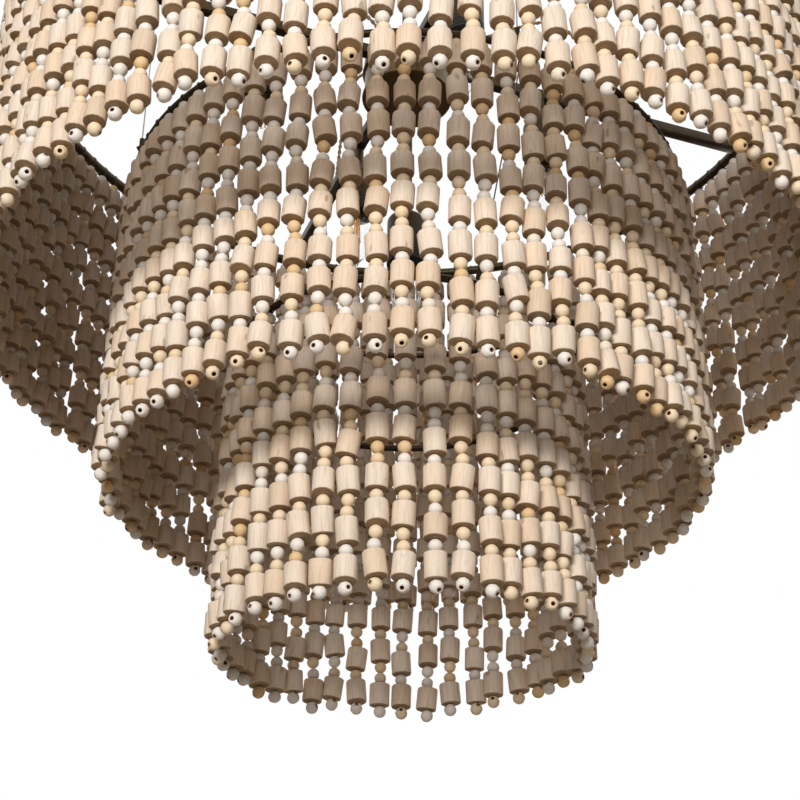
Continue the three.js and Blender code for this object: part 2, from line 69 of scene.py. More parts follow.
# How beads differ: shares of their size, the lean of a strand in metres, and turns in radians if not in degrees
LENGTH_RANGE = (0.94, 1.06)
WIDTH_RANGE = (0.97, 1.02)
LEAN_OUT = (-0.004, 0.003)
LEAN_ALONG = (-0.0030, 0.0030)
LOOSENESS = (0.5, 1.4)
ROUND_SWAY = 0.6
ROUND_HEIGHT = 0.97
SKEW_DEGREES = (-5, 5)
END_DIP_DEGREES = (-5, 55)
END_HEADING_SPREAD = 0.75
HEM_FALLOFF = 1.5
STRING_TURN = (-0.35, 0.35)
NOISE_APART = 61.0  # How far apart the noise of the palest and the darkest bead lies

bl_info = {
    "name": "Beaded chandelier",
    "version": (1, 0, 0),
    "blender": (4, 5, 0),
    "location": "View3D > Sidebar > Chandelier",
    "description": "Strings the beads, turns the metalwork and lights the room of a three-tier chandelier",
    "category": "Object",
}

# Tiers: radius to the strings, the hoop's bar, strands, cylinder beads on each strand and round beads above them
TIERS = {
    "outer": {"radius": 0.467, "bar": 0.013, "strands": 118, "beads": 9, "top_rounds": 1},
    "middle": {"radius": 0.311, "bar": 0.008, "strands": 77, "beads": 8, "top_rounds": 1},
    "bottom": {"radius": 0.185, "bar": 0.008, "strands": 46, "beads": 7, "top_rounds": 2},
}


def colour(name, description, default):
    """A colour property, as linear light"""
    return FloatVectorProperty(
        name=name, description=description, subtype="COLOR", size=3, min=0, max=1, default=default
    )


def number(name, description, default, **limits):
    return FloatProperty(name=name, description=description, default=default, **limits)


def length(name, description, default):
    """A length property in metres"""
    return number(name, description, default, min=0, unit="LENGTH")


def scaled(shade, factor):
    """A colour made lighter or darker"""
    return tuple(factor * c for c in shade)


class BeadSettings(bpy.types.PropertyGroup):
    """Sizes and colours of the wooden beads and their strings"""

    cylinder_diameter: length("Cylinder bead diameter", "Across a cylinder bead", 0.0223)
    cylinder_length: length("Cylinder bead length", "Length of the bead that the others are scaled from", 0.0245)
    cylinder_edge: length("Cylinder bead edge", "Width of the rounded edge at both ends", 0.0013)
    round_diameter: length("Round bead diameter", "Across a round bead", 0.0137)
    round_pitch: length("Round bead pitch", "Room that a round bead takes on its string", 0.0132)
    hole_diameter: length("Hole diameter", "Across the drilled hole of a round bead", 0.0044)
    string_diameter: length("String diameter", "Across the waxed string", 0.0014)
    uneven_hem: length("Uneven hem", "How much shorter a strand may be than the longest", 0.008)
    sway: length("Sway", "How far a bead's hole lies off the plumb line", 0.0019)
    pale_wood: colour("Pale wood", "Whitewashed sides of the cylinder beads", (0.79, 0.66, 0.525))
    warm_wood: colour("Warm wood", "Warmer sides of the cylinder beads", (0.74, 0.555, 0.38))
    streak_wood: colour("Wood streaks", "Darker streaks along the grain", (0.44, 0.29, 0.17))
    end_grain: colour("End grain", "Raw ends of the cylinder beads", (0.47, 0.33, 0.20))
    end_grain_ring: colour("End grain rings", "Darker rings on the raw ends", (0.27, 0.17, 0.09))
    hole_mouth: colour("Hole", "Inside of a drilled hole", (0.42, 0.20, 0.085))
    white_round: colour("Whitewashed rounds", "Round beads with a white wash", (0.84, 0.78, 0.70))
    cream_round: colour("Plain rounds", "Round beads of plain pale wood", (0.82, 0.65, 0.44))
    honey_round: colour("Honey rounds", "Round beads of a deeper wood", (0.72, 0.49, 0.25))
    string_colour: colour("String", "Waxed string", (0.030, 0.020, 0.012))


class MetalSettings(bpy.types.PropertyGroup):
    """Sizes and colours of the hoops, bars, hub and cables"""

    bar_edge: length("Bar edge", "Rounding along the edges of bars and brackets", 0.0007)
    cable_diameter: length("Cable", "Across a steel cable", 0.0015)
    cable_step: length("Cable step", "How far the lower cables stand beside the upper ones", 0.006)
    bronze: colour("Dark bronze", "Painted metal of hoops, bars and cups", (0.045, 0.029, 0.012))
    bronze_worn: colour("Worn bronze", "Where the bronze has rubbed lighter", (0.20, 0.135, 0.06))
    brass: colour("Old brass", "Metal of the hub's drum", (0.12, 0.078, 0.03))
    steel: colour("Steel", "Cables and the swivel", (0.46, 0.46, 0.45))


class LampSettings(bpy.types.PropertyGroup):
    """Sizes and colours of the candle lamps and their leads"""

    glass_wall: length("Glass wall", "Thickness of the bulb's glass", 0.0007)
    filament_length: length("Filament length", "Length of one filament strip", 0.036)
    filament_diameter: length("Filament diameter", "Across one filament strip", 0.0018)
    filament_circle: length("Filament circle", "Radius at which the strips stand", 0.0045)
    filament: colour("Filament", "Amber coating of the strips", (0.80, 0.36, 0.04))
    plastic: colour("Socket", "Black plastic of the sockets", (0.012, 0.011, 0.010))
    core_diameter: length("Lead core", "Across one core of the twisted lead", 0.0026)
    twist_pitch: length("Lead twist", "Length of one turn of the twisted lead", 0.016)
    cord_colour: colour("Lead", "Brown covering of the leads", (0.20, 0.12, 0.06))


class StageSettings(bpy.types.PropertyGroup):
    """Camera, floor and lights"""

    lens: number("Lens", "Focal length", 72.0, min=1, unit="CAMERA")
    camera_side: number("Camera side", "Camera's place along X", 0.018, unit="LENGTH")
    camera_back: length("Camera distance", "Camera's distance in front of the stem", 1.509)
    camera_below: length("Camera depth", "Camera's depth below the lowest bead", 0.545)
    camera_pitch: number("Pitch", "Upward tilt", math.radians(29.23), unit="ROTATION")
    camera_shift: number("Shift", "Sideways shift of the lens", -0.0275, unit="NONE")
    light_spread: number("Spread", "Angle that each light fans out to", math.radians(125), max=math.pi, unit="ROTATION")
    floor_depth: length("Floor depth", "Drop from the ceiling to the floor", 3.0)
    floor: colour("Floor", "Plain pale floor", (0.72, 0.66, 0.59))
    ambient: number("Room light", "Strength of the even light all round", 0.034, min=0)
    key_power: number("Key light", "Power of the front light", 102.0, min=0, unit="POWER")
    bulb_segments: IntProperty(name="Turning steps", description="Steps of a turned piece", default=64, min=12)


# Mesh helpers


def mesh_of(name, bm):
    """Turns a bmesh into a mesh and frees it"""
    mesh = bpy.data.meshes.new(name)
    bm.to_mesh(mesh)
    bm.free()
    return mesh


def add_piece(name, bm, materials, body, replaced=()):
    """Makes an object from a bmesh, hangs it on the body that it rides on, and hides the frame nodes that it replaces
    """
    mesh = mesh_of(name, bm)
    for material in materials:
        mesh.materials.append(material)
    piece = bpy.data.objects.new(name, mesh)
    bpy.context.scene.collection.objects.link(piece)
    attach(piece, body)
    if replaced:
        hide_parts(*replaced)
    return piece


def turn_outline(bm, outline, steps, material_index=0):
    """Spins a closed outline of (radius, height) points into a full body about Z, and returns its faces"""
    before = set(bm.faces)
    verts = [bm.verts.new((radius, 0, height)) for radius, height in outline]
    loop = list(zip(verts, verts[1:]))
    if outline[0][0] > 0:
        loop.append((verts[-1], verts[0]))
    edges = [bm.edges.new(pair) for pair in loop]
    spin_round(bm, verts + edges, (0, 0, 1), steps)
    faces = [face for face in bm.faces if face not in before]
    touched = list({vert for face in faces for vert in face.verts})
    bmesh.ops.remove_doubles(bm, verts=touched, dist=MERGE)
    faces = [face for face in bm.faces if face not in before]
    bmesh.ops.recalc_face_normals(bm, faces=faces)
    for face in faces:
        face.smooth = True
        face.material_index = material_index
    return faces


def spin_round(bm, geometry, axis, steps):
    bmesh.ops.spin(bm, geom=geometry, axis=axis, cent=(0, 0, 0), angle=FULL_TURN, steps=steps, use_merge=True)


def add_turned(name, outline, steps, material, body, node, place=(0, 0, 0), crisp=CRISP):
    """Adds a piece turned from an outline at a place; edges that turn more than the crisp angle stay sharp"""
    bm = bmesh.new()
    shift(bm, turn_outline(bm, outline, steps), place)
    crisp_edges(bm, crisp)
    return add_piece(name, bm, [material], body, [node])


def bevel_edges(bm, edges, width):
    bmesh.ops.bevel(bm, geom=edges, offset=width, segments=2, profile=0.5, affect="EDGES", material=-1,
                    clamp_overlap=True)


def smooth_all(bm):
    for face in bm.faces:
        face.smooth = True


def crisp_edges(bm, angle=CRISP):
    """Marks the edges that turn more than this angle as sharp"""
    for edge in bm.edges:
        if len(edge.link_faces) == 2 and edge.calc_face_angle(0) > angle:
            edge.smooth = False


def shift(bm, faces, offset):
    """Moves faces bodily"""
    verts = list({vert for face in faces for vert in face.verts})
    bmesh.ops.translate(bm, verts=verts, vec=offset)


def stamp(bm, template, pose, tone=None):
    """Adds a copy of a template mesh in its pose, and gives it a tone"""
    copy = template.copy()
    copy.transform(pose)
    if tone is not None:
        copy.attributes["tone"].data.foreach_set("value", [tone] * len(copy.vertices))
    bm.from_mesh(copy)
    bpy.data.meshes.remove(copy)


def polar(radius, azimuth, height):
    return Vector((radius * math.cos(azimuth), radius * math.sin(azimuth), height))


def upright_to(direction):
    """The turn that takes +Z to a direction"""
    return direction.to_track_quat("Z", "Y").to_matrix().to_4x4()


def node_middle(node):
    low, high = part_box(node)
    return (low + high) / 2


def spoke_azimuth():
    """Direction of the first spoke, seen from the stem"""
    middle = node_middle("spoke_1")
    return math.atan2(middle.y, middle.x)


def quarter_azimuth(quarter):
    return spoke_azimuth() + quarter * FULL_TURN / QUARTERS


def hoop_height(tier):
    return node_middle(f"{tier}_hoop").z


# Materials


class NodeMaterial:
    """A material and its node tree, with short calls to add and join nodes"""

    def __init__(self, name):
        self.material = bpy.data.materials.new(name)
        self.material.use_nodes = True
        self.tree = self.material.node_tree
        self.shader = self.tree.nodes["Principled BSDF"]

    def feed(self, socket, value):
        """Links a node's output to a socket, or leaves a number or a colour on it"""
        if isinstance(value, bpy.types.NodeSocket):
            self.tree.links.new(value, socket)
        else:
            socket.default_value = value

    def add(self, kind, inputs=None, **settings):
        node = self.tree.nodes.new(kind)
        for key, value in settings.items():
            setattr(node, key, value)
        for key, value in (inputs or {}).items():
            self.feed(node.inputs[key], value)
        return node

    def set(self, **values):
        """Feeds sockets of the shader"""
        for key, value in values.items():
            self.feed(self.shader.inputs[key.replace("_", " ")], value)

    def object_place(self):
        return self.add("ShaderNodeTexCoord").outputs["Object"]

    def attribute(self, name):
        return self.add("ShaderNodeAttribute", attribute_name=name)

    def bead_inputs(self):
        """A point's place in its bead, the bead's tone, and a number that gives the bead its own noise"""
        place = self.attribute("grain_place").outputs["Vector"]
        tone = self.attribute("tone").outputs["Fac"]
        return place, tone, self.maths("MULTIPLY", tone, NOISE_APART)

    def stretched(self, vector, scale):
        return self.add("ShaderNodeMapping", {"Vector": vector, "Scale": scale}).outputs["Vector"]

    def noise(self, vector, scale, detail=3.0, roughness=0.5, w=None):
        settings = {"Vector": vector, "Scale": scale, "Detail": detail, "Roughness": roughness}
        if w is None:
            return self.add("ShaderNodeTexNoise", settings).outputs["Fac"]
        return self.add("ShaderNodeTexNoise", {**settings, "W": w}, noise_dimensions="4D").outputs["Fac"]

    def ramp(self, value, stops):
        """A colour ramp from (position, colour) stops"""
        node = self.add("ShaderNodeValToRGB", {"Fac": value})
        elements = node.color_ramp.elements
        while len(elements) < len(stops):
            elements.new(0.5)
        for element, (position, shade) in zip(elements, stops):
            element.position = position
            element.color = (*shade, 1)
        return node.outputs["Color"]

    def mix(self, fac, first, second, blend="MIX"):
        node = self.add("ShaderNodeMix", {"Factor": fac}, data_type="RGBA", blend_type=blend)
        for socket, shade in zip(node.inputs[6:8], (first, second)):
            self.feed(socket, shade if isinstance(shade, bpy.types.NodeSocket) else (*shade, 1))
        return node.outputs[2]

    def stain(self, mask, share, under, over):
        """Lays one colour over another where a mask shows, up to a share"""
        return self.mix(self.maths("MULTIPLY", mask, share), under, over)

    def maths(self, operation, first, second):
        return self.add("ShaderNodeMath", {0: first, 1: second}, operation=operation).outputs[0]

    def bump(self, height, distance, strength):
        inputs = {"Height": height, "Distance": distance, "Strength": strength}
        return self.add("ShaderNodeBump", inputs).outputs["Normal"]


def grey(value):
    return (value, value, value)


def cylinder_side_material(beads):
    """Whitewashed wood with its grain along the bead, each bead of its own shade"""
    made = NodeMaterial("washed_wood")
    place, tone, own = made.bead_inputs()
    fibre = made.noise(made.stretched(place, (1.0, 1.0, 0.09)), 520.0, 4.0, 0.6, own)
    band = made.noise(made.stretched(place, (1.0, 1.0, 0.22)), 120.0, 2.0, 0.5, own)
    wash = made.noise(place, 45.0, 2.0, 0.5, own)
    shade = made.ramp(tone, [
        (0.0, beads.pale_wood),
        (0.35, scaled(beads.pale_wood, 0.97)),
        (0.62, tuple(0.6 * a + 0.4 * b for a, b in zip(beads.pale_wood, beads.warm_wood))),
        (0.86, beads.warm_wood),
        (1.0, scaled(beads.warm_wood, 0.86)),
    ])
    streaks = made.ramp(fibre, [(0.36, grey(1.0)), (0.52, grey(0.0))])
    bands = made.ramp(band, [(0.40, grey(0.7)), (0.60, grey(0.0))])
    knots = made.ramp(made.noise(made.stretched(place, (1.0, 1.0, 0.4)), 110.0, 1.0, 0.4, own),
                      [(0.24, grey(1.0)), (0.29, grey(0.0))])
    coloured = made.stain(streaks, 0.42, shade, beads.streak_wood)
    banded = made.stain(bands, 0.25, coloured, beads.warm_wood)
    washed = made.stain(wash, 0.25, banded, beads.white_round)
    knotted = made.stain(knots, 0.55, washed, beads.end_grain_ring)
    made.set(Base_Color=knotted, Roughness=0.72, Normal=made.bump(fibre, 0.0004, 0.5), Specular_IOR_Level=0.3)
    return made.material


def end_grain_material(beads):
    """Raw sawn ends: brown, with faint rings round the hole"""
    made = NodeMaterial("end_grain")
    place, tone, own = made.bead_inputs()
    rings = made.add(
        "ShaderNodeTexWave",
        {"Vector": place, "Scale": 95.0, "Distortion": 3.0, "Detail": 2.0, "Detail Scale": 1.5,
         "Phase Offset": own},
        wave_type="RINGS", rings_direction="Z",
    ).outputs["Fac"]
    pores = made.noise(place, 900.0, 2.0, 0.5, own)
    ringed = made.stain(rings, 0.45, beads.end_grain, beads.end_grain_ring)
    shade = made.ramp(tone, [(0.0, grey(0.92)), (0.5, grey(1.0)), (1.0, grey(0.78))])
    toned = made.mix(1.0, ringed, shade, "MULTIPLY")
    speckled = made.stain(pores, 0.35, toned, beads.end_grain_ring)
    made.set(Base_Color=speckled, Roughness=0.8, Normal=made.bump(pores, 0.0003, 0.4), Specular_IOR_Level=0.25)
    return made.material


def round_bead_material(beads):
    """Round beads: some whitewashed, some plain, a few of a deeper wood"""
    made = NodeMaterial("round_bead_wood")
    place, tone, own = made.bead_inputs()
    kinds = made.ramp(tone, [
        (0.0, beads.white_round),
        (0.46, scaled(beads.white_round, 0.95)),
        (0.50, scaled(beads.cream_round, 1.02)),
        (0.86, beads.cream_round),
        (0.92, beads.honey_round),
    ])
    grain = made.noise(made.stretched(place, (1.0, 0.25, 1.0)), 420.0, 3.0, 0.6, own)
    streaks = made.ramp(grain, [(0.38, grey(1.0)), (0.56, grey(0.0))])
    coloured = made.stain(streaks, 0.20, kinds, beads.warm_wood)
    made.set(Base_Color=coloured, Roughness=0.62, Normal=made.bump(grain, 0.0003, 0.35), Specular_IOR_Level=0.35)
    return made.material


def grained_material(name, grain, shades, roughness, relief=None, attribute=None, **more):
    """A stuff mottled between shades; grain is the noise's scale and detail, relief the bump's depth and strength"""
    made = NodeMaterial(name)
    place = made.attribute(attribute).outputs["Vector"] if attribute else made.object_place()
    mottle = made.noise(place, *grain)
    if relief:
        more["Normal"] = made.bump(mottle, *relief)
    made.set(Base_Color=made.ramp(mottle, shades), Roughness=roughness, **more)
    return made.material


def drilled_hole_material(beads):
    """Dark inside of a drilled hole"""
    shades = [(0.3, scaled(beads.hole_mouth, 0.5)), (0.7, beads.hole_mouth)]
    return grained_material("drilled_hole", (700.0, 2.0), shades, 0.9, attribute="grain_place")


def string_material(beads):
    """Waxed string with a fine twist"""
    shades = [(0.3, beads.string_colour), (0.75, scaled(beads.string_colour, 2.2))]
    return grained_material("waxed_string", (1400.0, 2.0), shades, 0.7, (0.0002, 0.5))


def metal_material(name, base, worn, roughness, metallic=0.75):
    """Metal with a soft mottling and rubbed patches"""
    wear, uneven = 0.35, 0.2
    made = NodeMaterial(name)
    place = made.object_place()
    mottle = made.noise(place, 60.0, 4.0, 0.6)
    fine = made.noise(place, 900.0, 2.0)
    rubbed = made.ramp(mottle, [(0.52, grey(0.0)), (0.74, grey(1.0))])
    shade = made.stain(rubbed, wear, base, worn)
    rough = made.maths("ADD", made.maths("MULTIPLY", mottle, uneven), roughness - 0.1)
    made.set(Base_Color=shade, Metallic=metallic, Roughness=rough, Normal=made.bump(fine, 0.0001, 0.3))
    return made.material


def plastic_material(lamps):
    """Black moulded plastic with a faint grain"""
    shades = [(0.3, lamps.plastic), (0.8, scaled(lamps.plastic, 1.8))]
    return grained_material("socket_plastic", (1200.0, 2.0), shades, 0.42, (0.0001, 0.3))


def glass_material():
    """Thin clear glass"""
    made = NodeMaterial("clear_glass")
    place = made.object_place()
    waves = made.noise(place, 30.0, 1.0)
    made.set(Base_Color=(1, 1, 1, 1), Roughness=0.0, IOR=1.45, Transmission_Weight=1.0,
             Normal=made.bump(waves, 0.0002, 0.2))
    return made.material


def filament_material(lamps):
    """Amber coating with fine beads of phosphor"""
    shades = [(0.3, scaled(lamps.filament, 0.7)), (0.7, lamps.filament)]
    glow = {"Emission_Color": (*lamps.filament, 1), "Emission_Strength": 0.25}
    return grained_material("filament_amber", (1500.0, 1.0), shades, 0.5, **glow)


def cord_material(lamps):
    """Brown woven covering of the twisted leads"""
    made = NodeMaterial("lead_covering")
    place = made.object_place()
    weave = made.add(
        "ShaderNodeTexVoronoi", {"Vector": place, "Scale": 1300.0}, feature="F1"
    ).outputs["Distance"]
    shade = made.ramp(weave, [(0.1, scaled(lamps.cord_colour, 1.6)), (0.6, lamps.cord_colour)])
    made.set(Base_Color=shade, Roughness=0.65, Normal=made.bump(weave, 0.0002, 0.5))
    return made.material


# Beads


def bead_template(name, bm):
    """A mesh of one bead that remembers each point's place in the bead, for the grain"""
    mesh = mesh_of(name, bm)
    place = mesh.attributes.new("grain_place", "FLOAT_VECTOR", "POINT")
    place.data.foreach_set("vector", [c for vert in mesh.vertices for c in vert.co])
    mesh.attributes.new("tone", "FLOAT", "POINT")
    return mesh


def cylinder_bead(beads):
    """A cylinder bead with rounded edges; its two ends are raw"""
    bm = bmesh.new()
    radius = beads.cylinder_diameter / 2
    cap, raw = 0.99, 0.8
    bmesh.ops.create_cone(bm, cap_ends=True, segments=12, radius1=radius, radius2=radius,
                          depth=beads.cylinder_length)
    rims = [edge for edge in bm.edges if abs(edge.verts[0].co.z - edge.verts[1].co.z) < MERGE]
    bevel_edges(bm, rims, beads.cylinder_edge)
    for face in bm.faces:
        upright = abs(face.normal.z)
        face.smooth = upright < cap
        face.material_index = END_GRAIN if upright > raw else SIDE
    return bead_template("cylinder_bead", bm)


def round_bead(beads):
    """A plain round bead; its holes lie against its neighbours"""
    bm = bmesh.new()
    bmesh.ops.create_uvsphere(bm, u_segments=10, v_segments=6, radius=beads.round_diameter / 2)
    smooth_all(bm)
    for face in bm.faces:
        face.material_index = ROUND
    return bead_template("round_bead", bm)


def end_bead(beads):
    """The last bead, drilled right through, whose hole shows"""
    bm = bmesh.new()
    radius = beads.round_diameter / 2
    hole = beads.hole_diameter / 2
    mouth = math.asin(hole / radius)
    belts, steps = 6, 9
    outline = []
    for belt in range(belts + 1):
        angle = mouth + (math.pi - 2 * mouth) * belt / belts
        outline.append((radius * math.sin(angle), -radius * math.cos(angle)))
    turn_outline(bm, outline, steps, ROUND)
    for face in bm.faces:
        middle = face.calc_center_median()
        if math.hypot(middle.x, middle.y) <= hole:
            face.material_index = HOLE
            face.smooth = False
    return bead_template("end_bead", bm)


def strand_plan(count, top_rounds, rng):
    """Bead kinds from the top down: cylinders with one and two round beads between them in turn"""
    plan = ["round"] * top_rounds
    pair = rng.random() < 0.5
    for bead in range(count):
        plan.append("cylinder")
        if bead < count - 1:
            plan += ["round"] * (2 if pair else 1)
            pair = not pair
    return plan + ["end"]


def bead_lengths(plan, total, beads, rng):
    """Length that each bead takes, so that the whole strand has its total"""
    drawn = [rng.uniform(*LENGTH_RANGE) if kind == "cylinder" else 0 for kind in plan]
    rounds = sum(1 for kind in plan if kind != "cylinder") * beads.round_pitch
    share = (total - rounds) / sum(drawn)
    return [weight * share if weight else beads.round_pitch for weight in drawn]


def hang_strand(bm, templates, beads, facts, azimuth, rng):
    """Strings one strand below a hoop, bead by bead"""
    plan = strand_plan(facts["beads"], facts["top_rounds"], rng)
    total = facts["top"] - facts["tip"] - rng.random() ** HEM_FALLOFF * beads.uneven_hem
    lengths = bead_lengths(plan, total, beads, rng)
    outward = polar(1, azimuth, 0)
    along = Vector((-outward.y, outward.x, 0))
    lean_out = rng.uniform(*LEAN_OUT)
    lean_along = rng.uniform(*LEAN_ALONG)
    loose = rng.uniform(*LOOSENESS)
    start = outward * facts["radius"] + Vector((0, 0, facts["top"]))
    upper, depth = start, 0.0
    for kind, size in zip(plan, lengths):
        depth += size
        fall = depth / total
        drift = loose * (beads.sway if kind == "cylinder" else beads.sway * ROUND_SWAY)
        lower = (
            start
            + outward * (lean_out * fall + rng.uniform(-drift, drift))
            + along * (lean_along * fall + rng.uniform(-drift, drift))
            - Vector((0, 0, depth))
        )
        place_bead(bm, templates[kind], kind, upper, lower, azimuth, beads, rng)
        upper = lower


def place_bead(bm, template, kind, upper, lower, azimuth, beads, rng):
    """Adds one bead between two points of its string; the end bead lies with a mouth of its hole outwards"""
    span = upper - lower
    turn = Matrix.Rotation(rng.uniform(0, FULL_TURN), 4, "Z")
    width = rng.uniform(*WIDTH_RANGE)
    if kind == "cylinder":
        size = Matrix.Diagonal((width, width, span.length / beads.cylinder_length, 1))
        skew = Matrix.Rotation(math.radians(rng.uniform(*SKEW_DEGREES)), 4, "X")
        pose = upright_to(span) @ turn.inverted() @ skew @ turn @ turn @ size
    elif kind == "end":
        heading = azimuth + rng.gauss(0, END_HEADING_SPREAD)
        dip = math.tan(math.radians(rng.uniform(*END_DIP_DEGREES)))
        pose = upright_to(polar(1, heading, -dip)) @ turn
    else:
        pose = upright_to(span) @ turn @ Matrix.Diagonal((width, width, ROUND_HEIGHT, 1))
    stamp(bm, template, Matrix.Translation((upper + lower) / 2) @ pose, rng.random())


class BuildStep:
    """A step of the build, as an operator that works on the scene"""

    def execute(self, context):
        self.build(context.scene)
        return {"FINISHED"}


class CHANDELIER_OT_strands(BuildStep, bpy.types.Operator):
    """String the wooden beads of the three tiers, a quarter of a tier at a time"""

    bl_idname = "chandelier.strands"
    bl_label = "String the beads"

    def build(self, scene):
        beads = scene.chandelier_beads
        templates = {"cylinder": cylinder_bead(beads), "round": round_bead(beads), "end": end_bead(beads)}
        materials = [
            cylinder_side_material(beads),
            end_grain_material(beads),
            round_bead_material(beads),
            drilled_hole_material(beads),
        ]
        for tier, facts in TIERS.items():
            for quarter in range(QUARTERS):
                string_quarter(tier, facts, quarter, templates, beads, materials)


def strand_azimuths(facts, quarter):
    """Directions of the strands of one quarter, as they hang between two spokes"""
    count = (quarter + 1) * facts["strands"] // QUARTERS - quarter * facts["strands"] // QUARTERS
    step = FULL_TURN / QUARTERS / count
    return [quarter_azimuth(quarter) + (place + 0.5) * step for place in range(count)]


def string_quarter(tier, facts, quarter, templates, beads, materials):
    node = f"{tier}_beads_{quarter + 1}"
    rod_floor = hoop_height(tier) - facts["bar"] / 2
    facts = {**facts, "top": rod_floor - beads.string_diameter, "tip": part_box(node)[0].z}
    rng = random.Random(node)
    bm = bmesh.new()
    for azimuth in strand_azimuths(facts, quarter):
        hang_strand(bm, templates, beads, facts, azimuth, rng)
    add_piece(f"{tier}_strands_{quarter + 1}", bm, materials, "fixture", [node])


class CHANDELIER_OT_strings(BuildStep, bpy.types.Operator):
    """Loop the strings over the hoops"""

    bl_idname = "chandelier.strings"
    bl_label = "Loop the strings"

    def build(self, scene):
        beads = scene.chandelier_beads
        material = string_material(beads)
        for tier, facts in TIERS.items():
            template = string_loop(beads, facts["bar"])
            rng = random.Random(f"{tier} strings")
            height = hoop_height(tier)
            bm = bmesh.new()
            for quarter in range(QUARTERS):
                for azimuth in strand_azimuths(facts, quarter):
                    turn = Matrix.Rotation(rng.uniform(*STRING_TURN), 4, "Z")
                    place = Matrix.Translation(polar(facts["radius"], azimuth, height))
                    stamp(bm, template, place @ Matrix.Rotation(azimuth, 4, "Z") @ turn)
            add_piece(f"{tier}_strings", bm, [material], "fixture")


def string_loop(beads, rod):
    """A string wound once round the rod, with its knot underneath; the rod runs along Y"""
    bm = bmesh.new()
    thin = beads.string_diameter / 2
    knot_radius, knot_drop = thin * 2.1, rod / 2 + thin * 1.5
    sides, steps = 5, 9
    ring = bmesh.ops.create_circle(bm, cap_ends=False, segments=sides, radius=thin)["verts"]
    bmesh.ops.translate(bm, verts=ring, vec=(rod / 2 + thin, 0, 0))
    spin_round(bm, ring + list(bm.edges), (0, 1, 0), steps)
    knot = bmesh.ops.create_icosphere(bm, subdivisions=1, radius=knot_radius)["verts"]
    bmesh.ops.translate(bm, verts=knot, vec=(0, 0, -knot_drop))
    bmesh.ops.recalc_face_normals(bm, faces=bm.faces)
    smooth_all(bm)
    return mesh_of("string_loop", bm)


# Metalwork


def bronze_material(metal):
    return metal_material("dark_bronze", metal.bronze, metal.bronze_worn, 0.42)


def softened_copy(node, name, material, body, edge):
    """A copy of a frame node with its flats joined and its edges rounded"""
    bm = bmesh.new()
    bm.from_mesh(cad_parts[node].data)
    bmesh.ops.remove_doubles(bm, verts=bm.verts, dist=MERGE)
    bmesh.ops.dissolve_limit(bm, angle_limit=math.radians(1), verts=bm.verts, edges=bm.edges)
    rims = [e for e in bm.edges if len(e.link_faces) == 2 and e.calc_face_angle(0) > CRISP]
    bevel_edges(bm, rims, edge)
    smooth_all(bm)
    crisp_edges(bm, math.radians(35))
    return add_piece(name, bm, [material], body, [node])


class CHANDELIER_OT_hoops(BuildStep, bpy.types.Operator):
    """Bend the three hoops of round rod"""

    bl_idname = "chandelier.hoops"
    bl_label = "Bend the hoops"

    def build(self, scene):
        material = bronze_material(scene.chandelier_metal)
        for tier, facts in TIERS.items():
            sides, steps = 14, 144
            outline = []
            for side in range(sides):
                place = polar(facts["bar"] / 2, FULL_TURN * side / sides, 0)
                outline.append((facts["radius"] + place.x, place.y))
            height = (0, 0, hoop_height(tier))
            add_turned(f"{tier}_ring", outline, steps, material, "fixture", f"{tier}_hoop", height)


class CHANDELIER_OT_bars(BuildStep, bpy.types.Operator):
    """Square off the four spokes"""

    bl_idname = "chandelier.bars"
    bl_label = "Cut the bars"

    def build(self, scene):
        metal = scene.chandelier_metal
        material = bronze_material(metal)
        for quarter in range(QUARTERS):
            node = f"spoke_{quarter + 1}"
            softened_copy(node, f"{node}_bar", material, "fixture", metal.bar_edge)


class CHANDELIER_OT_hub(BuildStep, bpy.types.Operator):
    """Turn the hub's lid and drum, the stem and its nuts"""

    bl_idname = "chandelier.hub"
    bl_label = "Turn the hub"

    def build(self, scene):
        metal = scene.chandelier_metal
        steps = scene.chandelier_stage.bulb_segments
        bronze = bronze_material(metal)
        brass = metal_material("old_brass", metal.brass, scaled(metal.brass, 2), 0.34)
        low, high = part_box("hub_shell")
        stem_low, stem_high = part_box("stem_rod")
        clearance, edge = 0.0003, 0.0006
        bore = (stem_high.x - stem_low.x) / 2 + clearance
        drum = drum_outline(low.z, high.z, (high.x - low.x) / 2, bore)
        add_turned("hub_drum", drum, steps, brass, "fixture", "hub_shell")
        for node, name in (
            ("hub_lid", "hub_top"), ("hub_nut", "hub_bottom_nut"), ("stem_collar", "stem_lock_collar")
        ):
            softened_copy(node, name, bronze, "fixture", edge)
        outer, inner = 0.0065, 0.0045
        tube = [(inner, stem_high.z), (inner, stem_low.z), (outer, stem_low.z), (outer, stem_high.z)]
        add_turned("stem_tube", tube, steps, bronze, "fixture", "stem_rod")


def drum_outline(floor, top, lip, bore):
    """The drum's wall: a plain upper band, a groove and a lip, a lower band and a rim"""
    wall = 0.002
    upper = lip - 0.0015
    groove = lip - 0.004
    band = lip - 0.003
    lip_top = top - 0.010
    outline = [
        (groove - wall, top),
        (groove - wall, floor + wall),
        (bore, floor + wall),
        (bore, floor),
        (upper - 0.001, floor),
    ]
    outline += arc(lip - 0.0018, floor + 0.0018, 0.0018, -80, 80, 6)
    outline += [(band, floor + 0.0046), (band, lip_top - 0.0038)]
    outline += arc(lip - 0.0014, lip_top - 0.0016, 0.0014, -80, 80, 5)
    outline += [(groove, lip_top + 0.0012), (groove, lip_top + 0.0032), (upper, lip_top + 0.0046)]
    outline += [(upper, top - 0.0006), (upper - 0.0006, top)]
    return outline


def arc(radius, height, size, start, end, steps):
    """Points of a small arc in an outline, from one angle to another in degrees"""
    points = []
    for step in range(steps + 1):
        angle = math.radians(start + (end - start) * step / steps)
        points.append((radius + size * math.cos(angle), height + size * math.sin(angle)))
    return points


